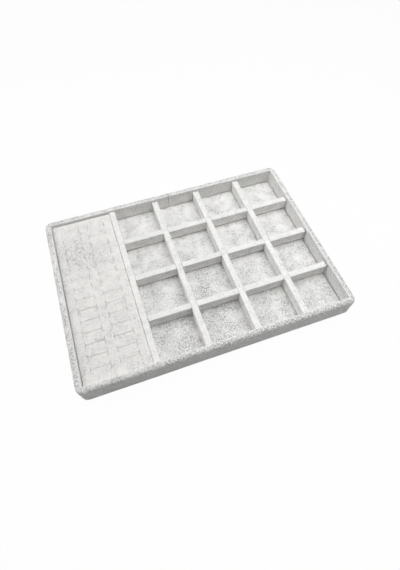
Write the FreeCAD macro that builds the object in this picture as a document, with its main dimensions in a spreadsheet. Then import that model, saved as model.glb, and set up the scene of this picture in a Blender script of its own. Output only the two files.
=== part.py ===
"""Velvet-covered jewelry tray with a lift-out ring pad and an interlocking divider grid.

Frame: +X right along the long side, +Y from front to rear, +Z up, in millimetres.
The origin is the centre of the underside.
"""
import FreeCAD, Part
import os
import re
import Sketcher

SIZES = {
    # Tray shell
    "tray_length": 350.0,
    "tray_width": 250.0,
    "tray_height": 30.0,
    "velvet": 1.0,
    "wall_board": 6.0,
    "corner_radius": 9.0,
    "rim_outer_radius": 4.5,
    "rim_inner_radius": 1.5,
    "bottom_edge_radius": 1.3,
    "hem_width": 16.0,
    "seam_place": 3.5,
    "seam_gap": 0.7,
    # Underside and compartment floor
    "cover_card": 1.0,
    "cover_inset": 4.0,
    "base_board": 4.0,
    "floor_card": 1.4,
    "floor_clearance": 0.9,
    # Dividers
    "pad_section": 81.5,
    "divider_core": 6.0,
    "divider_height": 18.2,
    "divider_edge_radius": 1.6,
    "slot_clearance": 0.25,
    "drop_clearance": 0.6,
    "grid_shift": 0.3,
    # Ring pad
    "pad_card": 1.6,
    "pad_drop": 1.0,
    "pad_edge_radius": 1.8,
    "slit_rows": 14,
    "slit_margin": 16.3,
    "slit_column_spacing": 34.6,
    "slit_length": 23.0,
    "slit_end_cut": 9.5,
    "slit_width": 0.5,
    "slit_depth": 12.0,
    # How far a cutter runs past the face that it cuts
    "overrun": 1.0,
}

DIVIDERS_EACH_WAY = 3
TOLERANCE = 1e-6

# Levels, widths and pitches worked out from the driving sizes
BASE_UNDERSIDE = "(cover_card + velvet)"
BASE_TOP = "(cover_card + velvet + base_board)"
FLOOR_TOP = f"({BASE_TOP} + floor_card + velvet)"
BOARD_X = "(tray_length/2 - velvet)"
BOARD_Y = "(tray_width/2 - velvet)"
INNER_X = "(tray_length/2 - 2*velvet - wall_board)"
INNER_Y = "(tray_width/2 - 2*velvet - wall_board)"
DIVIDER = "(divider_core + 2*velvet)"
SECTION_X = f"(pad_section + {DIVIDER}/2 - {INNER_X})"
GRID_LEFT = f"(pad_section + {DIVIDER} - {INNER_X})"
GRID_CENTRE = f"(({GRID_LEFT} + {INNER_X})/2)"
CROSS_CENTRE = f"({GRID_CENTRE} - grid_shift)"
CROSS_HALF = f"(({INNER_X} - {GRID_LEFT})/2 - drop_clearance)"
LONG_HALF = f"({INNER_Y} - drop_clearance)"
PAD_CENTRE = f"(pad_section/2 - {INNER_X})"
PAD_HALF_X = "(pad_section/2 - drop_clearance)"
PAD_HALF_Y = f"({INNER_Y} - drop_clearance)"
PAD_TOP = "(floor_card + velvet + divider_height - pad_drop)"
SLIT_PITCH = f"(2*({PAD_HALF_Y} - slit_margin)/(slit_rows - 1))"
COLUMN_PITCH = f"(({INNER_X} - {GRID_LEFT} + {DIVIDER})/{DIVIDERS_EACH_WAY + 1})"
ROW_PITCH = f"((2*{INNER_Y} + {DIVIDER})/{DIVIDERS_EACH_WAY + 1})"

doc = FreeCAD.newDocument("JewelryTray")
sheet = doc.addObject("Spreadsheet::Sheet", "Sizes")
for row, (alias, value) in enumerate(SIZES.items(), start=1):
    sheet.set(f"A{row}", alias)
    sheet.set(f"B{row}", str(value))
    sheet.setAlias(f"B{row}", alias)
doc.recompute()


def bind(feature, prop, formula):
    """Tie one property to a formula written in the sheet's names."""
    def cell(word):
        return f"Sizes.{word.group()}" if word.group() in SIZES else word.group()
    feature.setExpression(prop, re.sub(r"[a-z_]+", cell, str(formula)))


def place(piece, x=None, y=None, z=None):
    """Tie a piece's position to formulas."""
    for axis, formula in (("x", x), ("y", y), ("z", z)):
        if formula is not None:
            bind(piece, f"Placement.Base.{axis}", formula)


def new_body(label):
    body = doc.addObject("PartDesign::Body", label)
    body.Label = label
    return body


def new_sketch(body, role, lift=None):
    """Open a sketch on one of the body's own origin planes, raised by lift."""
    plane = next(item for item in body.Origin.OriginFeatures if item.Role == role)
    sketch = body.newObject("Sketcher::SketchObject", f"{body.Name}_sketch")
    sketch.AttachmentSupport = [(plane, "")]
    sketch.MapMode = "FlatFace"
    if lift is not None:
        bind(sketch, "AttachmentOffset.Base.z", lift)
    return sketch


def rectangle(sketch, x_low, x_high, y_low, y_high):
    """Draw a rectangle whose sides stand at four formulas."""
    corners = [FreeCAD.Vector(x, y) for x, y in ((0, 0), (1, 0), (1, 1), (0, 1))]
    first = sketch.GeometryCount
    for start, end in zip(corners, corners[1:] + corners[:1]):
        sketch.addGeometry(Part.LineSegment(start, end))
    for side in range(4):
        after = first + (side + 1) % 4
        sketch.addConstraint(Sketcher.Constraint("Coincident", first + side, 2, after, 1))
        direction = "Vertical" if side % 2 else "Horizontal"
        sketch.addConstraint(Sketcher.Constraint(direction, first + side))
    for kind, line, formula in (
        ("DistanceX", first, x_low),
        ("DistanceY", first, y_low),
        ("DistanceX", first + 2, x_high),
        ("DistanceY", first + 2, y_high),
    ):
        datum = sketch.addConstraint(Sketcher.Constraint(kind, -1, 1, line, 1, 1.0))
        bind(sketch, f"Constraints[{datum}]", formula)


def centred(sketch, half_x, half_y):
    """Draw a rectangle about the sketch's origin."""
    rectangle(sketch, f"-{half_x}", half_x, f"-{half_y}", half_y)


def pad(body, sketch, height):
    feature = body.newObject("PartDesign::Pad", f"{body.Name}_pad")
    feature.Profile = sketch
    bind(feature, "Length", height)
    doc.recompute()
    return feature


def pocket(body, sketch, depth=None, upward=False):
    """Cut a sketch into the body: to a depth, or right through both ways."""
    before = body.Shape.Volume
    feature = body.newObject("PartDesign::Pocket", f"{body.Name}_pocket")
    feature.Profile = sketch
    if depth is None:
        feature.SideType = "Symmetric"
        feature.Type = "ThroughAll"
    else:
        feature.Reversed = upward
        bind(feature, "Length", depth)
    doc.recompute()
    if body.Shape.Volume > before - TOLERANCE:
        raise RuntimeError(f"{feature.Name} cuts nothing")
    return feature


def repeat(body, cuts, sketch, axis, span, count):
    """Repeat cuts along one axis of their sketch."""
    pattern = body.newObject("PartDesign::LinearPattern", f"{body.Name}_row")
    pattern.Originals = cuts
    pattern.Direction = (sketch, [axis])
    bind(pattern, "Length", span)
    bind(pattern, "Occurrences", count)
    body.Tip = pattern
    doc.recompute()
    return pattern


def fillet(body, edges, radius):
    """Round the chosen edges of the body's last feature."""
    base = body.Tip
    names = [
        f"Edge{number}"
        for number, edge in enumerate(base.Shape.Edges, start=1)
        if any(edge.isSame(chosen) for chosen in edges)
    ]
    feature = body.newObject("PartDesign::Fillet", f"{body.Name}_fillet")
    feature.Base = (base, names)
    bind(feature, "Radius", radius)
    doc.recompute()
    return feature


def upright_edges(body):
    """Edges of the body that run straight up."""
    return [
        edge for edge in body.Tip.Shape.Edges
        if max(edge.BoundBox.XLength, edge.BoundBox.YLength) < TOLERANCE
    ]


def end_face(body, top=True):
    """The highest or the lowest face of the body."""
    pick = max if top else min
    return pick(body.Tip.Shape.Faces, key=lambda face: face.CenterOfMass.z)


def inner_edges(face):
    """Edges of a face's holes."""
    return [
        edge for wire in face.Wires
        if not wire.isSame(face.OuterWire) for edge in wire.Edges
    ]


def cut(label, base, tool):
    piece = doc.addObject("Part::Cut", label)
    piece.Label = label
    piece.Base = base
    piece.Tool = tool
    doc.recompute()
    return piece


def box(label, x_low, x_high, y_low, y_high, z_low, z_high):
    """A plain sheet, board or cutter between six formulas."""
    piece = doc.addObject("Part::Box", label)
    piece.Label = label
    bind(piece, "Length", f"{x_high} - {x_low}")
    bind(piece, "Width", f"{y_high} - {y_low}")
    bind(piece, "Height", f"{z_high} - {z_low}")
    place(piece, x_low, y_low, z_low)
    return piece


def rounded_board(label, half_x, half_y, radius, z_low, height):
    """A board or block with rounded upright corners."""
    body = new_body(label)
    outline = new_sketch(body, "XY_Plane", z_low)
    centred(outline, half_x, half_y)
    pad(body, outline, height)
    fillet(body, upright_edges(body), radius)
    return body


def make_underside():
    """The sheet that closes the underside, and the board that carries the tray."""
    cover = rounded_board(
        "bottom_cover", "(tray_length/2 - cover_inset)", "(tray_width/2 - cover_inset)",
        "corner_radius - cover_inset", 0, "cover_card",
    )
    base = rounded_board(
        "base_board", BOARD_X, BOARD_Y, "corner_radius - velvet", BASE_UNDERSIDE, "base_board",
    )
    return [cover, base]


def make_wall_frame():
    """The four wall boards before they are cut apart at their mitres."""
    frame = rounded_board(
        "wall_frame", BOARD_X, BOARD_Y, "corner_radius - velvet",
        BASE_TOP, f"tray_height - velvet - {BASE_TOP}",
    )
    opening = new_sketch(frame, "XY_Plane", BASE_TOP)
    centred(opening, "(tray_length/2 - velvet - wall_board)", "(tray_width/2 - velvet - wall_board)")
    pocket(frame, opening)
    fillet(frame, end_face(frame).OuterWire.Edges, "rim_outer_radius - velvet")
    return frame


def make_wall_board(label, frame, run, reach, turn):
    """Cut one wall board out of the frame, between two mitres."""
    mitre = doc.addObject("Part::Wedge", f"{label}_mitre")
    inset = "(velvet + wall_board + overrun)"
    bind(mitre, "Xmin", f"-{run}")
    bind(mitre, "Xmax", run)
    bind(mitre, "X2min", f"{inset} - {run}")
    bind(mitre, "X2max", f"{run} - {inset}")
    bind(mitre, "Ymin", f"-{reach}")
    bind(mitre, "Ymax", f"{inset} - {reach}")
    for low, high in (("Zmin", "Zmax"), ("Z2min", "Z2max")):
        bind(mitre, low, 0)
        bind(mitre, high, "tray_height")
    mitre.Placement.Rotation = FreeCAD.Rotation(FreeCAD.Vector(0, 0, 1), turn)
    board = doc.addObject("Part::Common", label)
    board.Label = label
    board.Base = frame
    board.Tool = mitre
    return board


def make_wall_boards(frame):
    length = "(tray_length/2)"
    width = "(tray_width/2)"
    return [
        make_wall_board("front_wall_board", frame, length, width, 0),
        make_wall_board("right_wall_board", frame, width, length, 90),
        make_wall_board("rear_wall_board", frame, length, width, 180),
        make_wall_board("left_wall_board", frame, width, length, 270),
    ]


def make_wall_velvet(frame, base):
    """One band of velvet: hem, outside, rim and inside, with a butt seam on the rear wall."""
    envelope = rounded_board(
        "velvet_envelope", "(tray_length/2)", "(tray_width/2)", "corner_radius",
        "cover_card", "tray_height - cover_card",
    )
    inside = new_sketch(envelope, "XY_Plane", "tray_height")
    centred(inside, INNER_X, INNER_Y)
    pocket(envelope, inside, f"tray_height - {BASE_TOP}")
    under = new_sketch(envelope, "XY_Plane", "cover_card")
    centred(under, "(tray_length/2 - hem_width)", "(tray_width/2 - hem_width)")
    pocket(envelope, under, "velvet", upward=True)
    fillet(envelope, end_face(envelope).OuterWire.Edges, "rim_outer_radius")
    fillet(envelope, inner_edges(end_face(envelope)), "rim_inner_radius")
    fillet(envelope, end_face(envelope, top=False).OuterWire.Edges, "bottom_edge_radius")
    around_walls = cut("velvet_around_walls", envelope, frame)
    around_base = cut("velvet_around_base", around_walls, base)
    seam = box(
        "seam_cutter", "(seam_place - seam_gap/2)", "(seam_place + seam_gap/2)",
        "0", "tray_width", "0", "(tray_height + overrun)",
    )
    return cut("wall_velvet", around_base, seam)


def make_section_divider():
    """The fixed divider between ring pad and grid, standing on the base between two walls."""
    half_core = "(divider_core/2)"
    top = f"({FLOOR_TOP} + divider_height)"
    core = box(
        "section_divider_core", f"({SECTION_X} - {half_core})", f"({SECTION_X} + {half_core})",
        f"-{INNER_Y}", INNER_Y, BASE_TOP, f"({top} - velvet)",
    )
    sleeve = new_body("section_divider_velvet")
    outline = new_sketch(sleeve, "XY_Plane")
    centred(outline, f"({DIVIDER}/2)", INNER_Y)
    pad(sleeve, outline, f"{top} - {BASE_TOP}")
    long_edges = [
        edge for edge in end_face(sleeve).Edges
        if edge.BoundBox.YLength > edge.BoundBox.XLength
    ]
    fillet(sleeve, long_edges, "divider_edge_radius")
    hollow = new_sketch(sleeve, "XY_Plane")
    rectangle(hollow, f"-{half_core}", half_core, f"-{INNER_Y} - overrun", f"{INNER_Y} + overrun")
    pocket(sleeve, hollow, f"{top} - velvet - {BASE_TOP}", upward=True)
    place(sleeve, x=SECTION_X, z=BASE_TOP)
    return [core, sleeve]


def make_floor():
    """The card and its velvet on the floor of the grid, with a narrow gap all round."""
    sides = (
        f"({GRID_LEFT} + floor_clearance)", f"({INNER_X} - floor_clearance)",
        f"(floor_clearance - {INNER_Y})", f"({INNER_Y} - floor_clearance)",
    )
    card_top = f"({BASE_TOP} + floor_card)"
    return [
        box("floor_card", *sides, BASE_TOP, card_top),
        box("floor_velvet", *sides, card_top, FLOOR_TOP),
    ]


def cut_halving_slots(body, first, pitch, from_above):
    """Cut the row of slots in which the crossing dividers sit."""
    sketch = new_sketch(body, "XZ_Plane")
    half_slot = f"({DIVIDER}/2 + slot_clearance)"
    if from_above:
        levels = ("divider_height/2 - slot_clearance/2", "divider_height + overrun")
    else:
        levels = ("-overrun", "divider_height/2 + slot_clearance/2")
    rectangle(sketch, f"{first} - {half_slot}", f"{first} + {half_slot}", *levels)
    slot = pocket(body, sketch)
    repeat(body, [slot], sketch, "H_Axis", f"{pitch}*{DIVIDERS_EACH_WAY - 1}", DIVIDERS_EACH_WAY)


def make_divider(name, half_length, slots, turn, x=None, y=None):
    """One lift-out divider, drawn along X: a slotted core in a velvet sleeve open below."""
    core = new_body(f"{name}_core")
    core_outline = new_sketch(core, "XY_Plane")
    centred(core_outline, f"({half_length} - velvet)", "(divider_core/2)")
    pad(core, core_outline, "divider_height - velvet")
    sleeve = new_body(f"{name}_velvet")
    sleeve_outline = new_sketch(sleeve, "XY_Plane")
    centred(sleeve_outline, half_length, f"({DIVIDER}/2)")
    pad(sleeve, sleeve_outline, "divider_height")
    fillet(sleeve, end_face(sleeve).Edges, "divider_edge_radius")
    hollow = new_sketch(sleeve, "XY_Plane")
    centred(hollow, f"({half_length} - velvet)", "(divider_core/2)")
    pocket(sleeve, hollow, "divider_height - velvet", upward=True)
    for piece in (core, sleeve):
        cut_halving_slots(piece, **slots)
        piece.Placement.Rotation = FreeCAD.Rotation(FreeCAD.Vector(0, 0, 1), turn)
        place(piece, x, y, FLOOR_TOP)
    return [core, sleeve]


def make_grid():
    """Three cross dividers slotted from above and three long dividers slotted from below."""
    pieces = []
    across = {
        "first": f"({SECTION_X} + {COLUMN_PITCH} - {CROSS_CENTRE})",
        "pitch": COLUMN_PITCH,
        "from_above": True,
    }
    lengthwise = {"first": f"(-{ROW_PITCH})", "pitch": ROW_PITCH, "from_above": False}
    for step, name in enumerate(("front", "middle", "rear")):
        pieces += make_divider(
            f"{name}_cross_divider", CROSS_HALF, across, 0,
            x=CROSS_CENTRE, y=f"{ROW_PITCH}*({step} - 1)",
        )
    for step, name in enumerate(("left", "middle", "right"), start=1):
        pieces += make_divider(
            f"{name}_long_divider", LONG_HALF, lengthwise, 90,
            x=f"{SECTION_X} + {COLUMN_PITCH}*{step}",
        )
    return pieces


def cut_ring_slits(body):
    """Cut two columns of H-shaped slits down from the pad's top."""
    first_row = f"(slit_margin - {PAD_HALF_Y})"
    half_width = "(slit_width/2)"
    long_cuts = new_sketch(body, "XY_Plane", PAD_TOP)
    end_cuts = new_sketch(body, "XY_Plane", PAD_TOP)
    for side in ("-", ""):
        column = f"({side}slit_column_spacing/2)"
        rectangle(
            long_cuts, f"{column} - slit_length/2", f"{column} + slit_length/2",
            f"{first_row} - {half_width}", f"{first_row} + {half_width}",
        )
        for end in ("-", "+"):
            centre = f"({column} {end} slit_length/2)"
            rectangle(
                end_cuts, f"{centre} - {half_width}", f"{centre} + {half_width}",
                f"{first_row} - slit_end_cut/2", f"{first_row} + slit_end_cut/2",
            )
    cuts = [pocket(body, long_cuts, "slit_depth"), pocket(body, end_cuts, "slit_depth")]
    repeat(body, cuts, long_cuts, "V_Axis", f"{SLIT_PITCH}*(slit_rows - 1)", "slit_rows")


def make_ring_pad():
    """A slit foam block on a card, under a velvet cover."""
    filling = (f"({PAD_HALF_X} - velvet)", f"({PAD_HALF_Y} - velvet)")
    card = new_body("ring_pad_card")
    card_outline = new_sketch(card, "XY_Plane")
    centred(card_outline, *filling)
    pad(card, card_outline, "pad_card")
    foam = new_body("ring_pad_foam")
    foam_outline = new_sketch(foam, "XY_Plane", "pad_card")
    centred(foam_outline, *filling)
    pad(foam, foam_outline, f"{PAD_TOP} - pad_card - velvet")
    cover = new_body("ring_pad_velvet")
    cover_outline = new_sketch(cover, "XY_Plane")
    centred(cover_outline, PAD_HALF_X, PAD_HALF_Y)
    pad(cover, cover_outline, PAD_TOP)
    fillet(cover, upright_edges(cover) + end_face(cover).Edges, "pad_edge_radius")
    hollow = new_sketch(cover, "XY_Plane")
    centred(hollow, *filling)
    pocket(cover, hollow, f"{PAD_TOP} - velvet", upward=True)
    for piece in (foam, cover):
        cut_ring_slits(piece)
    for piece in (card, foam, cover):
        place(piece, x=PAD_CENTRE, z=BASE_TOP)
    return [card, foam, cover]


def make_tray():
    underside = make_underside()
    frame = make_wall_frame()
    pieces = underside + make_wall_boards(frame)
    pieces.append(make_wall_velvet(frame, underside[1]))
    pieces += make_section_divider() + make_floor() + make_ring_pad() + make_grid()
    return pieces


def write_parts(pieces):
    """Check the whole document, then write each piece to its own file."""
    doc.recompute()
    for item in doc.Objects:
        if {"Invalid", "Error"} & set(item.State):
            raise RuntimeError(f"{item.Label} failed: {item.State}")
    for piece in pieces:
        shape = piece.Shape
        if shape.isNull() or not shape.isValid() or len(shape.Solids) != 1:
            raise RuntimeError(f"{piece.Label} is not one valid solid")
    os.makedirs("parts", exist_ok=True)
    for piece in pieces:
        piece.Shape.exportStep(f"parts/{piece.Label}.step")
        size = piece.Shape.BoundBox
        print(f"{piece.Label}: {size.XLength:.2f} x {size.YLength:.2f} x {size.ZLength:.2f} mm")


write_parts(make_tray())
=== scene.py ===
"""Velvet jewelry tray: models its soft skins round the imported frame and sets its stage.

Units are metres in the frame's axes: +X right along the long side, +Y from front to rear, +Z up.
"""
import math
from typing import NamedTuple

import bmesh
import bpy
from bpy.props import FloatProperty, FloatVectorProperty, PointerProperty
from mathutils import Matrix, Vector


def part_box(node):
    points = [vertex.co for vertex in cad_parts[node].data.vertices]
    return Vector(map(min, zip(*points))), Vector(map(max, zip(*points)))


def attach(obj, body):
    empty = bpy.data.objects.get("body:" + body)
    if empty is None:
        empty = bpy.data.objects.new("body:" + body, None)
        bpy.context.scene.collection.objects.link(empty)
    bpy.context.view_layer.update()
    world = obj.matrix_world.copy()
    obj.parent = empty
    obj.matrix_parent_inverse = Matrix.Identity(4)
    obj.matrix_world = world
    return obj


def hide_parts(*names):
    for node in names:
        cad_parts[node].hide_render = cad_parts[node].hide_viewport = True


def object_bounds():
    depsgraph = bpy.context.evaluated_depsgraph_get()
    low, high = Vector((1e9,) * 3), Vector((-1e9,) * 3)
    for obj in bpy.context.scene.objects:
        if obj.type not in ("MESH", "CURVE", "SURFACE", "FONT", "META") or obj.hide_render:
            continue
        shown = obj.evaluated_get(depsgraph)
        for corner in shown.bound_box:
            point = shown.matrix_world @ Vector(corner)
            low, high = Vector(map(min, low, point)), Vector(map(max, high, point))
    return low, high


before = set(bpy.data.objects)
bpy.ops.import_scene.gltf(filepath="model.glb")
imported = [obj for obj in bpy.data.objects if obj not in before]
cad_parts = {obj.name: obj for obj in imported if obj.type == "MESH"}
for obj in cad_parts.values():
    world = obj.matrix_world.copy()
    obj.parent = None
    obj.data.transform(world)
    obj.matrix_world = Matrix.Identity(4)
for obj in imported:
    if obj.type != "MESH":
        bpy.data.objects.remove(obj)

bl_info = {
    "name": "Velvet Jewelry Tray",
    "version": (1, 0, 0),
    "blender": (4, 5, 0),
    "location": "View3D > Sidebar > Jewelry Tray",
    "description": "Models the velvet skins, ring pad and stage of a jewelry tray",
    "category": "Object",
}

CAD_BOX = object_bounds()
X, Y, Z = 0, 1, 2
NEAR = 1e-5

CROSS_DIVIDERS = ("front_cross_divider", "middle_cross_divider", "rear_cross_divider")
LONG_DIVIDERS = ("left_long_divider", "middle_long_divider", "right_long_divider")
BOARD_NODES = (
    "base_board", "front_wall_board", "rear_wall_board", "left_wall_board", "right_wall_board",
    "section_divider_core", *(f"{name}_core" for name in CROSS_DIVIDERS + LONG_DIVIDERS),
)
CARD_NODES = ("bottom_cover", "floor_card", "ring_pad_card")
FOAM_NODES = ("ring_pad_foam",)

SHELL_LOW, SHELL_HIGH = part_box("wall_velvet")
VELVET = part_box("left_wall_board")[0].x - SHELL_LOW.x
WALL_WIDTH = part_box("left_wall_board")[1].x + VELVET - SHELL_LOW.x

# How far each ring slit gapes, as a share of the widest, front row first
LEFT_GAPE_SHARES = (0.5, 0.9, 1.0, 0.8, 0.8, 0.8, 0.5, 0.4, 0.4, 0.3, 0.2, 0.2, 0.2, 0.2)
RIGHT_GAPE_SHARES = (0.4, 0.7, 1.0, 0.7, 0.5, 0.5, 0.5, 0.2, 0.4, 0.4, 0.2, 0.2, 0.6, 0.2)
# How far the cuts across a slit's ends gape, as a share of the same width
END_GAPE_SHARE = 0.7

# Cosine above which a face counts as looking along an axis
FACING = 0.9
# Share of the wall's width, from outside, within which an edge is an outer one
OUTER_EDGE_SHARE = 0.75
# Share of the corners' radius that the hem takes before its corners are drawn to a point
HEM_CORNER_SHARE = 0.98
# Angle between faces up to which a skin is shaded smooth
SMOOTH_ANGLE = math.radians(60)
# Octaves in the height map of a skin
HEIGHT_MAP_DEPTH = 2

# Facets across each rounding
CORNER_FACETS = 8
OUTER_RIM_FACETS = 6
INNER_RIM_FACETS = 3
BOTTOM_FACETS = 3
DIVIDER_FACETS = 2
FLOOR_FACETS = 2
PAD_FACETS = 4


class Nap(NamedTuple):
    """How a velvet's nap is crushed, with sizes and places in metres."""
    tuft: float  # size of a tuft
    cloud: float  # size of a cloud of crushed tufts
    cover: float  # how much of the nap is crushed
    drift: tuple  # how the cover grows along each axis, per metre
    swing: float  # how strongly the clouds differ
    upright: float  # share of the flecks on upright faces
    level: float = 1.0  # share of the flecks on level faces
    highlight_lip: float = 1.0  # share of the flecks on the rim's inner edge, kept low to paint a highlight there
    worn_place: tuple = (0.0, 0.0, 0.0)  # middle of a place with more wear
    worn_reach: float = 0.05  # how far that wear spreads
    worn: float = 0.0  # how much the cover grows there


FLOOR_NAP = Nap(
    tuft=0.0021, cloud=0.012, cover=0.44, drift=(0.4, -0.9, 0.0), swing=2.2, upright=0.3,
    worn_place=(-0.03, -0.085, 0.008), worn_reach=0.16, worn=0.22,
)
# The walls' share of flecks on the rim's inner edge is low, so that edge reads pale: a painted highlight
WALL_NAP = Nap(
    tuft=0.0023, cloud=0.013, cover=0.90, drift=(0.9, -1.0, 0.0), swing=3.4, upright=0.43, highlight_lip=0.2,
    worn_place=(0.07, -0.121, 0.030), worn_reach=0.20, worn=0.38,
)
DIVIDER_NAP = Nap(
    tuft=0.0020, cloud=0.010, cover=0.40, drift=(0.0, 0.0, 0.0), swing=1.4, upright=0.9, level=0.65,
)
PAD_NAP = Nap(
    tuft=0.0019, cloud=0.010, cover=0.32, drift=(0.0, -0.8, 0.0), swing=1.4, upright=0.5,
    worn_place=(-0.137, 0.058, 0.026), worn_reach=0.050, worn=0.50,
)

# Noise of the nap: detail and roughness, and distortion where there is some
TUFT_NOISE = (4.0, 0.75, 0.15)
PILE_NOISE = (2.0, 0.6)
PILE_SIZE = 0.0007
CLOUD_DETAIL = 2.0
CLOUD_DISTORTION = 0.4
NOISE_MEAN = 0.5
# How far the clouds of crushed nap fade beyond their edges, as a share
SOFT_EDGE = 0.15
# Levels of the tufts' noise where a tuft stands and where it is crushed, and the fleck on a standing one
STANDING, CRUSHED = 0.585, 0.41
STANDING_FLECK = 0.04
# Cosines to the upward direction of faces that count as upright and as level
UPRIGHT_TILT, LEVEL_TILT = -0.1, 0.7
# Outward reach in metres, times that cosine, on the rim's inner edge, where fewer flecks paint a highlight,
# and where the rim's flecks are full
HIGHLIGHT_LIP, FULL_LIP = -0.04, 0.008
# Relief of the nap: distance in metres and strength
TUFT_RELIEF = (0.0007, 0.5)
PILE_RELIEF = (0.0004, 0.7)
NAP_ROUGHNESS = 0.82
NAP_SPECULAR = 0.1
SHEEN_ROUGHNESS = 0.5


class Grain(NamedTuple):
    """The grain of a board, card or foam, with its size and relief in metres."""
    size: float
    roughness: float
    relief: float


BOARD_GRAIN = Grain(size=0.0012, roughness=0.7, relief=0.0002)
CARD_GRAIN = Grain(size=0.0025, roughness=0.75, relief=0.0001)
FOAM_GRAIN = Grain(size=0.0006, roughness=0.85, relief=0.0003)
# Noise of the grain: detail and roughness
GRAIN_NOISE = (4.0, 0.65)
# Levels of the grain's noise where it shows the light tone and the dark one
LIGHT_GRAIN, DARK_GRAIN = 0.35, 0.68
GRAIN_STRENGTH = 0.5
GRAIN_SPECULAR = 0.2

# Levels of noise between which a surface goes from its least roughness to full roughness
SLEEK, ROUGH = 0.3, 0.7


def length(name, description, default):
    """A size in metres that a user may change."""
    return FloatProperty(name=name, description=description, default=default, unit="LENGTH", precision=5)


def colour(name, description, default):
    """A surface colour that a user may change."""
    return FloatVectorProperty(
        name=name, description=description, default=default, subtype="COLOR", min=0.0, max=1.0,
    )


def amount(name, description, default):
    """A share from 0 to 1 that a user may change."""
    return FloatProperty(
        name=name, description=description, default=default, min=0.0, max=1.0, subtype="FACTOR",
    )


def position(name, description, default):
    """A point in space that a user may change."""
    return FloatVectorProperty(
        name=name, description=description, default=default, subtype="TRANSLATION", unit="LENGTH",
    )


def power(name, description, default):
    """The power of a lamp that a user may change."""
    return FloatProperty(name=name, description=description, default=default, min=0.0, unit="POWER")


class JEWELRYTRAY_PG_velvet(bpy.types.PropertyGroup):
    """Sizes of the velvet skins of the tray and its dividers."""
    thickness: length("Velvet", "Thickness of the velvet with its backing", VELVET)
    wall_width: length("Wall Width", "Width of a covered wall", WALL_WIDTH)
    corner_radius: length("Corner Radius", "Radius of the tray's upright corners", 0.009)
    rim_outer_radius: length("Outer Rim Radius", "Rounding of the rim's outer edge", 0.0045)
    rim_inner_radius: length("Inner Rim Radius", "Rounding of the rim's inner edge", 0.0010)
    bottom_radius: length("Bottom Radius", "Rounding where the velvet turns under", 0.0013)
    hem_width: length("Hem Width", "Width of velvet turned under the base", 0.016)
    seam_place: length("Seam Place", "Where the band's ends meet on the rear wall", 0.0035)
    seam_gap: length("Seam Gap", "Gap between the band's two ends", 0.0010)
    seam_lift: length("Seam Lift", "How far the right-hand end stands proud", 0.0008)
    divider_radius: length("Divider Radius", "Rounding of a divider's edges", 0.0006)
    end_room: length("End Room", "How much shorter a lift-out divider's velvet is at its far end", 0.0005)
    divider_tuck: length("Divider Tuck", "How far a divider's velvet turns in at its foot", 0.00095)
    foot_gap: length("Foot Gap", "How far a lift-out divider's velvet ends above the floor", 0.0007)
    slot_clearance: length("Slot Clearance", "Room on each side of a halving slot", 0.0003)
    cross_drop: length("Cross Drop", "How much lower the cross dividers' velvet lies", 0.0004)
    floor_radius: length("Floor Edge Radius", "Rounding of the floor velvet's edges", 0.0002)
    floor_snug: length("Floor Snug", "How far the floor velvet is pushed up to the fixed divider", 0.0007)
    floor_skew: length("Floor Skew", "How far the ends of the floor's right edge are out of square", 0.0003)
    spacing: length("Mesh Spacing", "Distance between the vertices of a skin", 0.0018)
    divider_spacing: length("Divider Spacing", "Distance between the vertices of a divider", 0.0013)
    nap_size: length("Nap Size", "Size of the tufts in the nap", 0.0022)
    nap_height: length("Nap Height", "How far tufts rise and fall", 0.0004)
    wave_size: length("Wave Size", "Size of the slow waves of a skin", 0.03)
    wave_height: length("Wave Height", "How far the slow waves rise and fall", 0.0004)


class JEWELRYTRAY_PG_ring_pad(bpy.types.PropertyGroup):
    """Sizes of the ring pad's cover and its slits."""
    edge_radius: length("Edge Radius", "Rounding of the pad's edges", 0.0005)
    settle: position("Settle", "How far the pad has slid within its room", (0.0002, -0.0002, 0.0))
    slit_margin: length("Slit Margin", "From the pad's end to its first slit", 0.0163)
    column_spacing: length("Column Spacing", "Distance between the two columns", 0.0346)
    slit_length: length("Slit Length", "Length of a slit", 0.023)
    end_cut: length("End Cut", "Length of the cut across each end of a slit", 0.0095)
    slit_width: length("Slit Width", "Widest gap between the lips of a slit", 0.0005)
    lip_sag: length("Lip Sag", "How far the lips of the widest slit sink", 0.0004)
    nap_height: length("Nap Height", "How far tufts rise and fall", 0.00012)
    wave_height: length("Wave Height", "How far the slow waves rise and fall", 0.0003)


class JEWELRYTRAY_PG_finish(bpy.types.PropertyGroup):
    """Colours of the finishes."""
    ice_light: colour("Ice Velvet", "Lit nap of the pale velvet", (0.885, 0.88, 0.86))
    floor_light: colour("Floor Velvet", "Lit nap of the compartments' floor", (0.868, 0.862, 0.845))
    divider_light: colour("Divider Velvet", "Lit nap of the dividers", (0.925, 0.92, 0.90))
    ice_fleck: colour("Ice Fleck", "Crushed flecks of the pale velvet", (0.38, 0.385, 0.40))
    wall_fleck: colour("Wall Fleck", "Crushed flecks of the walls", (0.40, 0.40, 0.41))
    floor_fleck: colour("Floor Fleck", "Crushed flecks of the compartments' floor", (0.35, 0.355, 0.37))
    pad_light: colour("Pad Velvet", "Lit nap of the ring pad", (0.88, 0.86, 0.84))
    pad_fleck: colour("Pad Fleck", "Crushed flecks of the ring pad", (0.44, 0.44, 0.44))
    board_light: colour("Board", "Pale fibres of the board", (0.48, 0.38, 0.28))
    board_dark: colour("Board Fleck", "Dark fibres of the board", (0.28, 0.21, 0.14))
    card_light: colour("Card", "Face of the grey card", (0.56, 0.55, 0.53))
    card_dark: colour("Card Fibre", "Fibres in the grey card", (0.40, 0.39, 0.375))
    foam_light: colour("Foam", "Cell walls of the foam", (0.86, 0.85, 0.82))
    # The foam's darker tone is painted shade in the hollows of its cells
    foam_hollow_shade: colour("Foam Cell", "Hollows of the foam's cells", (0.60, 0.59, 0.56))
    sheen: amount("Sheen", "Weight of the velvet's sheen", 0.25)


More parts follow.
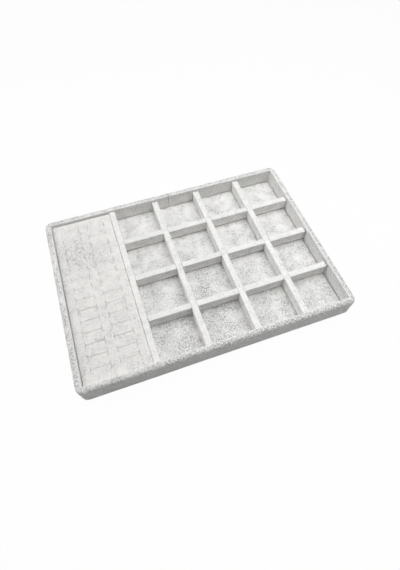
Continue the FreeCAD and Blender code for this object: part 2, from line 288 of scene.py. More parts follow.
class JEWELRYTRAY_PG_stage(bpy.types.PropertyGroup):
    """Camera, floor and light."""
    camera_place: position("Camera Place", "Where the camera stands", (-0.08274, -0.25345, 0.43204))
    camera_right: FloatVectorProperty(
        name="Camera Right", description="Direction to the right in the picture", subtype="DIRECTION",
        default=(0.9426, -0.33378, 0.00943),
    )
    camera_forward: FloatVectorProperty(
        name="Camera Forward", description="Direction in which the camera looks", subtype="DIRECTION",
        default=(0.17279, 0.4634, -0.86914),
    )
    lens: FloatProperty(
        name="Lens", description="Focal length on a 36 mm long side", default=23.14, unit="CAMERA",
    )
    floor_reach: length("Floor Reach", "Length of the floor's sides", 8.0)
    floor_tone: amount("Floor Tone", "How much light the floor returns", 0.8)
    floor_white: amount("Floor White", "Share of plain white that the camera sees", 0.97)
    sky: FloatProperty(name="Sky", description="Strength of the even light", default=0.02, min=0.0)
    softbox_side: length("Softbox Side", "Side of each softbox", 0.7)
    right_place: position("Right Place", "Where the near softbox on the right hangs", (0.25, 0.0, 0.60))
    right_power: power("Right Power", "Power of the softbox on the right", 4.1)
    left_place: position("Left Place", "Where the softbox on the left hangs", (-0.9, 0.25, 0.60))
    left_power: power("Left Power", "Power of the softbox on the left", 5.9)
    top_place: position("Top Place", "Where the softbox overhead hangs", (0.0, 0.1, 1.2))
    top_power: power("Top Power", "Power of the softbox overhead", 1.5)


def select_only(piece):
    """Make one piece the only selected one, and the active one."""
    bpy.ops.object.select_all(action="DESELECT")
    piece.select_set(True)
    bpy.context.view_layer.objects.active = piece


def add_block(name, low, high):
    """Start a piece as a block between two corners, with its place in its mesh."""
    bpy.ops.object.select_all(action="DESELECT")
    bpy.ops.mesh.primitive_cube_add(size=1.0, location=(low + high) / 2)
    piece = bpy.context.object
    piece.name = name
    piece.data.name = name
    piece.scale = high - low
    bpy.ops.object.transform_apply(location=True, rotation=True, scale=True)
    return piece


def open_mesh(piece):
    """Open a piece in edit mode with nothing selected."""
    select_only(piece)
    bpy.ops.object.mode_set(mode="EDIT")
    bpy.ops.mesh.select_all(action="DESELECT")


def close_mesh():
    """Go back from edit mode to object mode."""
    bpy.ops.object.mode_set(mode="OBJECT")


def choose(piece, kind, test):
    """Select the vertices, edges or faces that pass a test, and no others."""
    bpy.ops.mesh.select_mode(type=kind)
    bpy.ops.mesh.select_all(action="DESELECT")
    mesh = bmesh.from_edit_mesh(piece.data)
    items = {"VERT": mesh.verts, "EDGE": mesh.edges, "FACE": mesh.faces}[kind]
    chosen = [item for item in items if test(item)]
    for item in chosen:
        item.select_set(True)
    bmesh.update_edit_mesh(piece.data)
    if not chosen:
        raise RuntimeError(f"{piece.name}: nothing to select")


def remove_faces(piece, test):
    """Take out the faces that pass a test."""
    choose(piece, "FACE", test)
    bpy.ops.mesh.delete(type="FACE")


def faces_along(axis, sign):
    """Test for faces that look along an axis."""
    return lambda face: face.normal[axis] * sign > FACING


def both_ends(test):
    """Test for edges whose two ends pass a test on a point."""
    return lambda edge: all(test(vertex.co) for vertex in edge.verts)


def runs_along(edge, axis):
    """Tell whether an edge lies along an axis."""
    run = edge.verts[1].co - edge.verts[0].co
    return all(abs(run[other]) < NEAR for other in (X, Y, Z) if other != axis)


def bevel(radius, facets):
    """Round the selected edges."""
    bpy.ops.mesh.bevel(offset=radius, segments=facets, affect="EDGES")


def bisect(axis, place):
    """Cut what is selected with a plane across an axis."""
    bpy.ops.mesh.bisect(
        plane_co=[place if other == axis else 0.0 for other in (X, Y, Z)],
        plane_no=[1.0 if other == axis else 0.0 for other in (X, Y, Z)],
    )


def cut_through(axis, place):
    """Cut the whole mesh with a plane across an axis."""
    bpy.ops.mesh.select_all(action="SELECT")
    bisect(axis, place)


def divide(piece, axis, spacing):
    """Cut the edges along an axis into lengths of about the spacing, the longest and its like first."""
    most_parts = 64
    alike = 0.9
    while True:
        mesh = bmesh.from_edit_mesh(piece.data)
        runs = [edge.calc_length() for edge in mesh.edges if runs_along(edge, axis)]
        longest = max(runs, default=0.0)
        parts = min(most_parts, round(longest / spacing))
        if parts < 2:
            return
        choose(
            piece, "EDGE",
            lambda edge: runs_along(edge, axis) and edge.calc_length() > longest * alike,
        )
        bpy.ops.mesh.subdivide(number_cuts=parts - 1)


def clouds(name, size):
    """A cloudy height map for the displacement of a skin."""
    texture = bpy.data.textures.new(name, type="CLOUDS")
    texture.noise_scale = size
    texture.noise_depth = HEIGHT_MAP_DEPTH
    return texture


def displace(piece, name, size, height, group="", level=0.5):
    """Raise and sink a skin by a cloudy height map, and apply it."""
    select_only(piece)
    modifier = piece.modifiers.new(name, "DISPLACE")
    modifier.texture = clouds(f"{piece.name}_{name}", size)
    modifier.texture_coords = "LOCAL"
    modifier.strength = height
    modifier.mid_level = level
    modifier.vertex_group = group
    bpy.ops.object.modifier_apply(modifier=name)


def thicken(piece, thickness):
    """Give an open skin its thickness, inwards."""
    select_only(piece)
    modifier = piece.modifiers.new("cloth", "SOLIDIFY")
    modifier.thickness = thickness
    modifier.offset = -1.0
    bpy.ops.object.modifier_apply(modifier="cloth")


def roughen(piece, sizes, heights):
    """Give a skin its slow waves and its nap."""
    displace(piece, "waves", sizes.wave_size, heights.wave_height)
    displace(piece, "nap", sizes.nap_size, heights.nap_height)


def finish_piece(piece, node, body, material):
    """Smooth a skin, dress it, and put it in the place of its CAD node."""
    select_only(piece)
    bpy.ops.object.shade_smooth_by_angle(angle=SMOOTH_ANGLE)
    piece.data.materials.clear()
    piece.data.materials.append(material)
    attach(piece, body)
    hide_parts(node)


def new_material(name):
    """An empty node material with its shader and Object coordinates."""
    material = bpy.data.materials.new(name)
    material.use_nodes = True
    nodes = material.node_tree.nodes
    coords = nodes.new("ShaderNodeTexCoord").outputs["Object"]
    return material, nodes["Principled BSDF"], coords


def noise(material, coords, size, detail, roughness=0.55, distortion=0.0):
    """Noise whose blobs are about a size across."""
    node = material.node_tree.nodes.new("ShaderNodeTexNoise")
    node.inputs["Scale"].default_value = 1.0 / size
    node.inputs["Detail"].default_value = detail
    node.inputs["Roughness"].default_value = roughness
    node.inputs["Distortion"].default_value = distortion
    material.node_tree.links.new(coords, node.inputs["Vector"])
    return node.outputs["Fac"]


def math_node(owner, operation, first, second):
    """One step of arithmetic on sockets or plain numbers, in the nodes of a material or a world."""
    node = owner.node_tree.nodes.new("ShaderNodeMath")
    node.operation = operation
    for socket, value in zip(node.inputs, (first, second)):
        if isinstance(value, (int, float)):
            socket.default_value = value
        else:
            owner.node_tree.links.new(value, socket)
    return node.outputs["Value"]


def step_between(material, value, low, high, to_low=0.0, to_high=1.0):
    """A smooth step of a value from one level to another."""
    node = material.node_tree.nodes.new("ShaderNodeMapRange")
    node.interpolation_type = "SMOOTHSTEP"
    node.inputs["From Min"].default_value = low
    node.inputs["From Max"].default_value = high
    node.inputs["To Min"].default_value = to_low
    node.inputs["To Max"].default_value = to_high
    material.node_tree.links.new(value, node.inputs["Value"])
    return node.outputs["Result"]


def blend_colours(material, factor, first, second):
    """Mix two colours by a factor."""
    node = material.node_tree.nodes.new("ShaderNodeMix")
    node.data_type = "RGBA"
    material.node_tree.links.new(factor, node.inputs["Factor"])
    node.inputs["A"].default_value = (*first, 1.0)
    node.inputs["B"].default_value = (*second, 1.0)
    return node.outputs["Result"]


def add_bump(material, shader, heights):
    """Stack bumps, each a height, a distance in metres and a strength, on a shader's normal."""
    tree = material.node_tree
    normal = None
    for height, distance, strength in heights:
        node = tree.nodes.new("ShaderNodeBump")
        node.inputs["Distance"].default_value = distance
        node.inputs["Strength"].default_value = strength
        tree.links.new(height, node.inputs["Height"])
        if normal is not None:
            tree.links.new(normal, node.inputs["Normal"])
        normal = node.outputs["Normal"]
    tree.links.new(normal, shader.inputs["Normal"])


def dot_product(material, first, second):
    """The dot product of a socket's vector with another socket's or a plain one."""
    node = material.node_tree.nodes.new("ShaderNodeVectorMath")
    node.operation = "DOT_PRODUCT"
    material.node_tree.links.new(first, node.inputs[0])
    if isinstance(second, tuple):
        node.inputs[1].default_value = second
    else:
        material.node_tree.links.new(second, node.inputs[1])
    return node.outputs["Value"]


def flatten(material, vector):
    """A vector without its height."""
    node = material.node_tree.nodes.new("ShaderNodeVectorMath")
    node.operation = "MULTIPLY"
    material.node_tree.links.new(vector, node.inputs[0])
    node.inputs[1].default_value = (1.0, 1.0, 0.0)
    return node.outputs["Vector"]


def nap_density(material, coords, nap):
    """How densely the nap is crushed: in clouds, more to one side and in one worn place."""
    patches = noise(material, coords, nap.cloud, CLOUD_DETAIL, distortion=CLOUD_DISTORTION)
    patches = math_node(material, "SUBTRACT", patches, NOISE_MEAN)
    patches = math_node(material, "MULTIPLY", patches, nap.swing)
    total = math_node(material, "ADD", patches, dot_product(material, coords, nap.drift))
    if nap.worn:
        apart = material.node_tree.nodes.new("ShaderNodeVectorMath")
        apart.operation = "DISTANCE"
        material.node_tree.links.new(coords, apart.inputs[0])
        apart.inputs[1].default_value = nap.worn_place
        wear = step_between(material, apart.outputs["Value"], nap.worn_reach, 0.0, 0.0, nap.worn)
        total = math_node(material, "ADD", total, wear)
    return step_between(material, total, -nap.cover - SOFT_EDGE, 1.0 + SOFT_EDGE - nap.cover)


def velvet(name, light, fleck, nap, sheen):
    """Crushed velvet: a pale nap with clouds of dark flecks, shared out by how a face is turned, with fewer
    on the rim's inner edge as a painted highlight.
    """
    material, shader, coords = new_material(name)
    tree = material.node_tree
    tufts = noise(material, coords, nap.tuft, *TUFT_NOISE)
    pile = noise(material, coords, PILE_SIZE, *PILE_NOISE)
    normal = tree.nodes.new("ShaderNodeNewGeometry").outputs["Normal"]
    tilt = dot_product(material, normal, (0.0, 0.0, 1.0))
    upward = step_between(material, tilt, UPRIGHT_TILT, LEVEL_TILT, nap.upright, nap.level)
    outward = dot_product(material, flatten(material, normal), coords)
    lean = math_node(material, "MULTIPLY", outward, tilt)
    # Fewer flecks where a face leans inwards at the rim's inner edge: a painted highlight along that edge
    edge = step_between(material, lean, HIGHLIGHT_LIP, FULL_LIP, nap.highlight_lip, 1.0)
    crushed = step_between(material, tufts, STANDING, CRUSHED, STANDING_FLECK, 1.0)
    for share in (nap_density(material, coords, nap), upward, edge):
        crushed = math_node(material, "MULTIPLY", crushed, share)
    roughness = step_between(material, tufts, SLEEK, ROUGH, NAP_ROUGHNESS, 1.0)
    tree.links.new(blend_colours(material, crushed, light, fleck), shader.inputs["Base Color"])
    tree.links.new(roughness, shader.inputs["Roughness"])
    shader.inputs["Sheen Weight"].default_value = sheen
    shader.inputs["Sheen Roughness"].default_value = SHEEN_ROUGHNESS
    shader.inputs["Specular IOR Level"].default_value = NAP_SPECULAR
    add_bump(material, shader, [(tufts, *TUFT_RELIEF), (pile, *PILE_RELIEF)])
    return material


def fibrous(name, light, dark, grain):
    """Board, card or foam: two tones in a fine grain with a little relief."""
    material, shader, coords = new_material(name)
    tree = material.node_tree
    fibres = noise(material, coords, grain.size, *GRAIN_NOISE)
    tint = step_between(material, fibres, LIGHT_GRAIN, DARK_GRAIN)
    roughness = step_between(material, fibres, SLEEK, ROUGH, grain.roughness, 1.0)
    tree.links.new(blend_colours(material, tint, light, dark), shader.inputs["Base Color"])
    tree.links.new(roughness, shader.inputs["Roughness"])
    shader.inputs["Specular IOR Level"].default_value = GRAIN_SPECULAR
    add_bump(material, shader, [(fibres, grain.relief, GRAIN_STRENGTH)])
    return material


def divider_velvet(finish):
    """The pale velvet of all the dividers, made once."""
    name = "ice_velvet_dividers"
    if name in bpy.data.materials:
        return bpy.data.materials[name]
    return velvet(name, finish.divider_light, finish.ice_fleck, DIVIDER_NAP, finish.sheen)


class JEWELRYTRAY_OT_wall_velvet(bpy.types.Operator):
    """Model the one band of velvet that wraps the walls, from hem to inside."""
    bl_idname = "jewelry_tray.wall_velvet"
    bl_label = "Wall Velvet"

    def execute(self, context):
        sizes = context.scene.jewelry_tray_velvet
        band = add_block("wall_velvet_band", SHELL_LOW, SHELL_HIGH)
        open_mesh(band)
        choose(band, "EDGE", lambda edge: runs_along(edge, Z))
        bevel(sizes.corner_radius, CORNER_FACETS)
        self.open_inside(band, sizes)
        self.turn_hem(band, sizes)
        self.round_edges(band, sizes)
        for axis in (X, Y, Z):
            divide(band, axis, sizes.spacing)
        self.part_seam(band, sizes)
        close_mesh()
        roughen(band, sizes, sizes)
        thicken(band, sizes.thickness)
        finish = context.scene.jewelry_tray_finish
        material = velvet("ice_velvet_walls", finish.ice_light, finish.wall_fleck, WALL_NAP, finish.sheen)
        finish_piece(band, "wall_velvet", "tray", material)
        return {"FINISHED"}

    def open_inside(self, band, sizes):
        """Sink the inside down to the base and leave it open there."""
        choose(band, "FACE", faces_along(Z, 1))
        bpy.ops.mesh.inset(thickness=sizes.wall_width)
        depth = SHELL_HIGH.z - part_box("base_board")[1].z
        bpy.ops.mesh.extrude_region_move(TRANSFORM_OT_translate={"value": (0.0, 0.0, -depth)})
        bpy.ops.mesh.delete(type="FACE")

    def turn_hem(self, band, sizes):
        """Turn the velvet under the base as a hem with mitred corners."""
        to_corner = sizes.corner_radius * HEM_CORNER_SHARE
        choose(band, "FACE", faces_along(Z, -1))
        bpy.ops.mesh.inset(thickness=to_corner)
        bpy.ops.mesh.remove_doubles(threshold=sizes.corner_radius - to_corner)
        looks_down = faces_along(Z, -1)
        near_middle = sizes.corner_radius
        choose(
            band, "FACE",
            lambda face: looks_down(face) and face.calc_center_median().length < near_middle,
        )
        bpy.ops.mesh.inset(thickness=sizes.hem_width - to_corner)
        bpy.ops.mesh.delete(type="FACE")

    def round_edges(self, band, sizes):
        """Round the rim's two edges and the edge where the velvet turns under."""
        inside = SHELL_HIGH - Vector((sizes.wall_width, sizes.wall_width, 0.0)) * OUTER_EDGE_SHARE

        def outer(point):
            return abs(point.x) > inside.x or abs(point.y) > inside.y

        def at(level):
            return lambda point: abs(point.z - level) < NEAR
        on_rim = at(SHELL_HIGH.z)
        on_bottom = at(SHELL_LOW.z)
        choose(band, "EDGE", both_ends(lambda point: on_rim(point) and outer(point)))
        bevel(sizes.rim_outer_radius, OUTER_RIM_FACETS)
        lining = SHELL_HIGH.x - sizes.wall_width + NEAR, SHELL_HIGH.y - sizes.wall_width + NEAR
        choose(
            band, "EDGE",
            both_ends(lambda point: on_rim(point) and abs(point.x) < lining[X] and abs(point.y) < lining[Y]),
        )
        bevel(sizes.rim_inner_radius, INNER_RIM_FACETS)
        choose(band, "EDGE", both_ends(lambda point: on_bottom(point) and outer(point)))
        bevel(sizes.bottom_radius, BOTTOM_FACETS)

    def part_seam(self, band, sizes):
        """Part the band's two ends on the rear wall, and lift the right-hand one."""
        rear = SHELL_HIGH.y - sizes.hem_width - NEAR
        left = sizes.seam_place - sizes.seam_gap / 2
        right = sizes.seam_place + sizes.seam_gap / 2

        def at_rear(face):
            return face.calc_center_median().y > rear
        for place in (left, right):
            choose(band, "FACE", at_rear)
            bisect(X, place)
        remove_faces(band, lambda face: at_rear(face) and left < face.calc_center_median().x < right)
        choose(band, "VERT", lambda vertex: abs(vertex.co.x - right) < NEAR and vertex.co.y > rear)
        bpy.ops.transform.shrink_fatten(value=sizes.seam_lift)


def middle(node, axis):
    """Centre of a CAD node along an axis."""
    low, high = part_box(node)
    return (low[axis] + high[axis]) / 2


def cut_slots(sleeve, node, sizes, along, places, from_above):
    """Cut a sleeve's halving slots to its middle, from above or from below."""
    low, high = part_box(node)
    across = Y if along == X else X
    half_slot = (high[across] - low[across]) / 2 + sizes.slot_clearance
    clearance = sizes.slot_clearance / 2
    level = middle(node, Z) + (-clearance if from_above else clearance)
    for place in places:
        for side in (place - half_slot, place + half_slot):
            cut_through(along, side)
    cut_through(Z, level)

    def in_slot(face):
        centre = face.calc_center_median()
        if (centre.z > level) != from_above:
            return False
        return any(abs(centre[along] - place) < half_slot for place in places)
    remove_faces(sleeve, in_slot)


def tuck_foot(sleeve, sizes, low, high):
    """Turn a sleeve's lower edge in all round."""
    choose(sleeve, "VERT", lambda vertex: vertex.co.z < low.z + NEAR)
    half = (high - low) / 2
    tuck = [1.0 if axis == Z else 1.0 - sizes.divider_tuck / half[axis] for axis in (X, Y, Z)]
    bpy.ops.transform.resize(value=tuck, center_override=(low + high) / 2)


def model_sleeve(name, node, sizes, slot_places=(), slots_from_above=True, butted=False):
    """Model a divider's velvet sleeve, open below, and at its ends where it is butted to the walls."""
    low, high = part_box(node)
    along = X if high.x - low.x > high.y - low.y else Y
    if not butted:
        high[along] -= sizes.end_room
        low.z += sizes.foot_gap
    if slot_places and slots_from_above:
        high.z -= sizes.cross_drop

    def on_top(point):
        return point.z > high.z - NEAR
    sleeve = add_block(name, low, high)
    open_mesh(sleeve)
    remove_faces(sleeve, faces_along(Z, -1))
    if butted:
        remove_faces(sleeve, lambda face: abs(face.normal[along]) > FACING)
        choose(sleeve, "EDGE", lambda edge: runs_along(edge, along) and on_top(edge.verts[0].co))
    else:
        choose(sleeve, "EDGE", both_ends(on_top))
    bevel(sizes.divider_radius, DIVIDER_FACETS)
    if slot_places:
        cut_slots(sleeve, node, sizes, along, slot_places, slots_from_above)
    for axis in (X, Y, Z):
        divide(sleeve, axis, sizes.divider_spacing)
    if not butted:
        tuck_foot(sleeve, sizes, low, high)
    close_mesh()
    return sleeve


def finish_sleeve(context, sleeve, node, body):
    """Give a sleeve its nap, its thickness and the dividers' velvet."""
    sizes = context.scene.jewelry_tray_velvet
    roughen(sleeve, sizes, sizes)
    thicken(sleeve, sizes.thickness)
    material = divider_velvet(context.scene.jewelry_tray_finish)
    finish_piece(sleeve, node, body, material)


def copy_piece(piece, name, shift):
    """Copy a piece with its own mesh, moved by a shift."""
    select_only(piece)
    bpy.ops.object.duplicate(linked=False)
    twin = bpy.context.object
    twin.name = name
    twin.data.name = name
    bpy.ops.transform.translate(value=shift)
    bpy.ops.object.transform_apply(location=True, rotation=True, scale=True)
    return twin


def model_dividers(context, names, axis, crossing, slots_from_above, bodies):
    """Model one lift-out divider with its slots, copy it to the others, and finish each."""
    sizes = context.scene.jewelry_tray_velvet
    places = [middle(f"{name}_velvet", 1 - axis) for name in crossing]
    first_node = f"{names[0]}_velvet"
    first = model_sleeve(f"{names[0]}_sleeve", first_node, sizes, places, slots_from_above)
    sleeves = [first]
    for name in names[1:]:
        shift = Vector((0.0, 0.0, 0.0))
        shift[axis] = middle(f"{name}_velvet", axis) - middle(first_node, axis)
        sleeves.append(copy_piece(first, f"{name}_sleeve", shift))
    for sleeve, name, body in zip(sleeves, names, bodies):
        finish_sleeve(context, sleeve, f"{name}_velvet", body)


class JEWELRYTRAY_OT_section_divider(bpy.types.Operator):
    """Model the sleeve of the fixed divider between the ring pad and the grid."""
    bl_idname = "jewelry_tray.section_divider"
    bl_label = "Section Divider"

    def execute(self, context):
        sizes = context.scene.jewelry_tray_velvet
        node = "section_divider_velvet"
        sleeve = model_sleeve("section_divider_sleeve", node, sizes, butted=True)
        finish_sleeve(context, sleeve, node, "tray")
        return {"FINISHED"}


class JEWELRYTRAY_OT_cross_dividers(bpy.types.Operator):
    """Model the three cross dividers' sleeves, slotted from above."""
    bl_idname = "jewelry_tray.cross_dividers"
    bl_label = "Cross Dividers"

    def execute(self, context):
        bodies = ["cross_dividers"] * len(CROSS_DIVIDERS)
        model_dividers(context, CROSS_DIVIDERS, Y, LONG_DIVIDERS, True, bodies)
        return {"FINISHED"}


class JEWELRYTRAY_OT_long_dividers(bpy.types.Operator):
    """Model the three long dividers' sleeves, slotted from below."""
    bl_idname = "jewelry_tray.long_dividers"
    bl_label = "Long Dividers"

    def execute(self, context):
        model_dividers(context, LONG_DIVIDERS, X, CROSS_DIVIDERS, False, LONG_DIVIDERS)
        return {"FINISHED"}


class JEWELRYTRAY_OT_floor_velvet(bpy.types.Operator):
    """Model the velvet on the floor of the compartments."""
    bl_idname = "jewelry_tray.floor_velvet"
    bl_label = "Floor Velvet"

    def execute(self, context):
        sizes = context.scene.jewelry_tray_velvet
        low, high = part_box("floor_velvet")
        low.x -= sizes.floor_snug
        floor = add_block("floor_velvet_sheet", low, high)
        open_mesh(floor)
        choose(floor, "EDGE", both_ends(lambda point: point.z > high.z - NEAR))
        bevel(sizes.floor_radius, FLOOR_FACETS)
        for axis in (X, Y):
            divide(floor, axis, sizes.spacing)
        choose(floor, "VERT", lambda vertex: vertex.co.x > high.x - sizes.floor_radius - NEAR)
        skew = math.atan(2 * sizes.floor_skew / (high.y - low.y))
        bpy.ops.transform.rotate(
            value=skew, orient_axis="Z", orient_type="GLOBAL", center_override=(high.x, 0.0, high.z),
        )
        close_mesh()
        top = floor.vertex_groups.new(name="top")
        foot = high.z - sizes.floor_radius
        raised = [vertex.index for vertex in floor.data.vertices if vertex.co.z > foot]
        top.add(raised, 1.0, "REPLACE")
        displace(floor, "waves", sizes.wave_size, sizes.wave_height / 2, "top", level=1.0)
        displace(floor, "nap", sizes.nap_size, sizes.nap_height / 2, "top", level=1.0)
        floor.vertex_groups.clear()
        finish = context.scene.jewelry_tray_finish
        material = velvet(
            "ice_velvet_floor", finish.floor_light, finish.floor_fleck, FLOOR_NAP, finish.sheen,
        )
        finish_piece(floor, "floor_velvet", "tray", material)
        return {"FINISHED"}


class JEWELRYTRAY_OT_ring_pad(bpy.types.Operator):
    """Model the ring pad's velvet cover with its two columns of slits."""
    bl_idname = "jewelry_tray.ring_pad"
    bl_label = "Ring Pad"

    def execute(self, context):
        sizes = context.scene.jewelry_tray_velvet
        pad = context.scene.jewelry_tray_ring_pad
        finish = context.scene.jewelry_tray_finish
        low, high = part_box("ring_pad_velvet")
        settle = Vector(pad.settle)
        cover = add_block("ring_pad_cover", low + settle, high + settle)
        open_mesh(cover)
        remove_faces(cover, faces_along(Z, -1))
        choose(cover, "EDGE", lambda edge: max(vertex.co.z for vertex in edge.verts) > high.z - NEAR)
        bevel(pad.edge_radius, PAD_FACETS)
        self.rule_slits(pad, low, high)
        for axis in (X, Y, Z):
            divide(cover, axis, sizes.spacing)
        self.part_slits(cover, pad, low, high)
        close_mesh()
        roughen(cover, sizes, pad)
        thicken(cover, sizes.thickness)
        material = velvet("pad_velvet", finish.pad_light, finish.pad_fleck, PAD_NAP, finish.sheen)
        finish_piece(cover, "ring_pad_velvet", "ring_pad", material)
        return {"FINISHED"}

    def rows(self, pad, low, high):
        """Places of the slits along the pad."""
        first = low.y + pad.slit_margin
        pitch = (high.y - low.y - 2 * pad.slit_margin) / (len(LEFT_GAPE_SHARES) - 1)
        return [first + pitch * row for row in range(len(LEFT_GAPE_SHARES))]

    def ends(self, pad, low, high):
        """Places across the pad of the two ends of each column's slits."""
        centre = (low.x + high.x) / 2
        columns = (centre - pad.column_spacing / 2, centre + pad.column_spacing / 2)
        return [(place - pad.slit_length / 2, place + pad.slit_length / 2) for place in columns]

    def rule_slits(self, pad, low, high):
        """Rule the cover with the edges of every slit."""
        half = pad.slit_width / 2
        for pair in self.ends(pad, low, high):
            for end in pair:
                for side in (-half, half):
                    cut_through(X, end + side)
        for row in self.rows(pad, low, high):
            for offset in (-pad.end_cut / 2, -half, half, pad.end_cut / 2):
                cut_through(Y, row + offset)

    def part_slits(self, cover, pad, low, high):
        """Take out the gaps of the slits, then draw their lips together and let them sink."""
        half = pad.slit_width / 2
        rows = self.rows(pad, low, high)
        ends = self.ends(pad, low, high)

        def in_slit(face):
            if face.normal.z < FACING:
                return False
            centre = face.calc_center_median()
            row_gap = min(abs(centre.y - row) for row in rows)
            for left, right in ends:
                if row_gap < half and left - half < centre.x < right + half:
                    return True
                end_gap = min(abs(centre.x - left), abs(centre.x - right))
                if row_gap < pad.end_cut / 2 and end_gap < half:
                    return True
            return False
        remove_faces(cover, in_slit)
        for (left, right), shares in zip(ends, (LEFT_GAPE_SHARES, RIGHT_GAPE_SHARES)):
            column = (left + right) / 2
            slit_reach = (pad.slit_length / 2 - half, half)
            end_reach = (half, pad.end_cut / 2)
            for row, share in zip(rows, shares):
                self.draw_lips(cover, (column, row, high.z), slit_reach, Y, share)
                bpy.ops.transform.translate(value=(0.0, 0.0, -pad.lip_sag * share))
                for end in (left, right):
                    self.draw_lips(cover, (end, row, high.z), end_reach, X, END_GAPE_SHARE)

    def draw_lips(self, cover, centre, reach, axis, share):
        """Draw the lips of one cut together about its middle line."""
        def on_lip(vertex):
            return all(abs(vertex.co[i] - centre[i]) < reach[i] + NEAR for i in (X, Y))
        choose(cover, "VERT", on_lip)
        scale = [share if i == axis else 1.0 for i in (X, Y, Z)]
        bpy.ops.transform.resize(value=scale, center_override=centre)


class JEWELRYTRAY_OT_boards(bpy.types.Operator):
    """Dress the boards, cards and foam that the frame carries."""
    bl_idname = "jewelry_tray.boards"
    bl_label = "Boards, Cards and Foam"

    def execute(self, context):
        finish = context.scene.jewelry_tray_finish
        finishes = (
            (BOARD_NODES, fibrous("pressed_board", finish.board_light, finish.board_dark, BOARD_GRAIN)),
            (CARD_NODES, fibrous("grey_card", finish.card_light, finish.card_dark, CARD_GRAIN)),
            # The foam's second tone is painted shade in its cell hollows
            (FOAM_NODES, fibrous("open_foam", finish.foam_light, finish.foam_hollow_shade, FOAM_GRAIN)),
        )
        for names, material in finishes:
            for name in names:
                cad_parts[name].material_slots[0].material = material
        return {"FINISHED"}


class JEWELRYTRAY_OT_stage(bpy.types.Operator):
    """Set the floor, the light and the camera."""
    bl_idname = "jewelry_tray.stage"
    bl_label = "Stage"

    def execute(self, context):
        stage = context.scene.jewelry_tray_stage
        self.lay_floor(stage)
        self.light_sky(context, stage)
        for name in ("right", "left", "top"):
            self.hang_softbox(name, stage)
        self.stand_camera(context, stage)
        context.scene.view_settings.view_transform = "Standard"
        return {"FINISHED"}

    def seen_plainly(self, owner):
        """A factor that is 1 for rays which show the background itself."""
        path = owner.node_tree.nodes.new("ShaderNodeLightPath")
        total = path.outputs["Is Camera Ray"]
        for name in ("Is Glossy Ray", "Is Transmission Ray"):
            total = math_node(owner, "MAXIMUM", total, path.outputs[name])
        return total

    def lay_floor(self, stage):
        """A pale floor that the camera sees as white with a faint shadow."""
        bpy.ops.object.select_all(action="DESELECT")
        bpy.ops.mesh.primitive_plane_add(size=stage.floor_reach, location=(0.0, 0.0, CAD_BOX[0].z))
        floor = bpy.context.object
        floor.name = "stage_floor"
        material = bpy.data.materials.new("stage_floor")
        material.use_nodes = True
        tree = material.node_tree
        tree.nodes.clear()
        paper = tree.nodes.new("ShaderNodeBsdfDiffuse")
        paper.inputs["Color"].default_value = (stage.floor_tone, stage.floor_tone, stage.floor_tone, 1.0)
        white = tree.nodes.new("ShaderNodeEmission")
        mix = tree.nodes.new("ShaderNodeMixShader")
        share = math_node(material, "MULTIPLY", self.seen_plainly(material), stage.floor_white)
        output = tree.nodes.new("ShaderNodeOutputMaterial")
        tree.links.new(share, mix.inputs["Fac"])
        tree.links.new(paper.outputs["BSDF"], mix.inputs[1])
        tree.links.new(white.outputs["Emission"], mix.inputs[2])
        tree.links.new(mix.outputs["Shader"], output.inputs["Surface"])
        floor.data.materials.append(material)

    def light_sky(self, context, stage):
        """An even sky that the camera sees as white."""
        world = bpy.data.worlds.new("stage_sky")
        world.use_nodes = True
        tree = world.node_tree
        tree.nodes.clear()
        even = tree.nodes.new("ShaderNodeBackground")
        even.inputs["Strength"].default_value = stage.sky
        white = tree.nodes.new("ShaderNodeBackground")
        for node in (even, white):
            node.inputs["Color"].default_value = (1.0, 1.0, 1.0, 1.0)
        mix = tree.nodes.new("ShaderNodeMixShader")
        output = tree.nodes.new("ShaderNodeOutputWorld")
        tree.links.new(self.seen_plainly(world), mix.inputs["Fac"])
        tree.links.new(even.outputs["Background"], mix.inputs[1])
        tree.links.new(white.outputs["Background"], mix.inputs[2])
        tree.links.new(mix.outputs["Shader"], output.inputs["Surface"])
        context.scene.world = world

    def hang_softbox(self, name, stage):
        """One of the softboxes, turned towards the tray."""
        spot = Vector(getattr(stage, f"{name}_place"))
        bpy.ops.object.light_add(type="AREA", location=spot)
        lamp = bpy.context.object
        lamp.name = f"{name}_softbox"
        lamp.data.size = stage.softbox_side
        lamp.data.energy = getattr(stage, f"{name}_power")
        lamp.rotation_euler = (-spot).to_track_quat("-Z", "Y").to_euler()

    def stand_camera(self, context, stage):
        """The camera at the picture's place and angle."""
        bpy.ops.object.camera_add(location=stage.camera_place)
        camera = bpy.context.object
        camera.name = "photo_camera"
        right = Vector(stage.camera_right).normalized()
        back = -Vector(stage.camera_forward).normalized()
        up = back.cross(right)
        turn = Matrix((right, up, back)).transposed().to_4x4()
        camera.matrix_world = Matrix.Translation(stage.camera_place) @ turn
        camera.data.lens = stage.lens
        context.scene.camera = camera


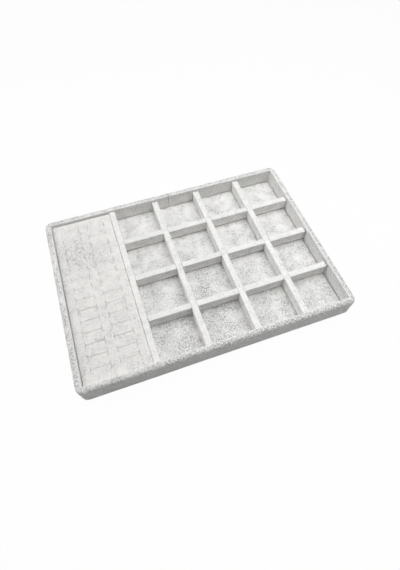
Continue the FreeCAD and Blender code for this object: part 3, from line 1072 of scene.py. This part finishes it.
class JEWELRYTRAY_PT_pieces(bpy.types.Panel):
    """Sizes, finishes and steps of the tray in the 3D view's sidebar."""
    bl_idname = "JEWELRYTRAY_PT_pieces"
    bl_label = "Jewelry Tray"
    bl_space_type = "VIEW_3D"
    bl_region_type = "UI"
    bl_category = "Jewelry Tray"

    def draw(self, context):
        for operator in OPERATORS:
            self.layout.operator(operator.bl_idname)
        for name in SETTINGS:
            group = getattr(context.scene, name)
            box = self.layout.box()
            for key in group.__annotations__:
                box.prop(group, key)


SETTINGS = {
    "jewelry_tray_velvet": JEWELRYTRAY_PG_velvet,
    "jewelry_tray_ring_pad": JEWELRYTRAY_PG_ring_pad,
    "jewelry_tray_finish": JEWELRYTRAY_PG_finish,
    "jewelry_tray_stage": JEWELRYTRAY_PG_stage,
}
OPERATORS = (
    JEWELRYTRAY_OT_wall_velvet,
    JEWELRYTRAY_OT_section_divider,
    JEWELRYTRAY_OT_cross_dividers,
    JEWELRYTRAY_OT_long_dividers,
    JEWELRYTRAY_OT_floor_velvet,
    JEWELRYTRAY_OT_ring_pad,
    JEWELRYTRAY_OT_boards,
    JEWELRYTRAY_OT_stage,
)


def register():
    for name, group in SETTINGS.items():
        bpy.utils.register_class(group)
        setattr(bpy.types.Scene, name, PointerProperty(type=group))
    for operator in OPERATORS:
        bpy.utils.register_class(operator)
    bpy.utils.register_class(JEWELRYTRAY_PT_pieces)


def unregister():
    bpy.utils.unregister_class(JEWELRYTRAY_PT_pieces)
    for operator in reversed(OPERATORS):
        bpy.utils.unregister_class(operator)
    for name, group in reversed(SETTINGS.items()):
        delattr(bpy.types.Scene, name)
        bpy.utils.unregister_class(group)


def main():
    register()
    bpy.ops.jewelry_tray.wall_velvet()
    bpy.ops.jewelry_tray.section_divider()
    bpy.ops.jewelry_tray.cross_dividers()
    bpy.ops.jewelry_tray.long_dividers()
    bpy.ops.jewelry_tray.floor_velvet()
    bpy.ops.jewelry_tray.ring_pad()
    bpy.ops.jewelry_tray.boards()
    bpy.ops.jewelry_tray.stage()


if __name__ == "__main__":
    main()
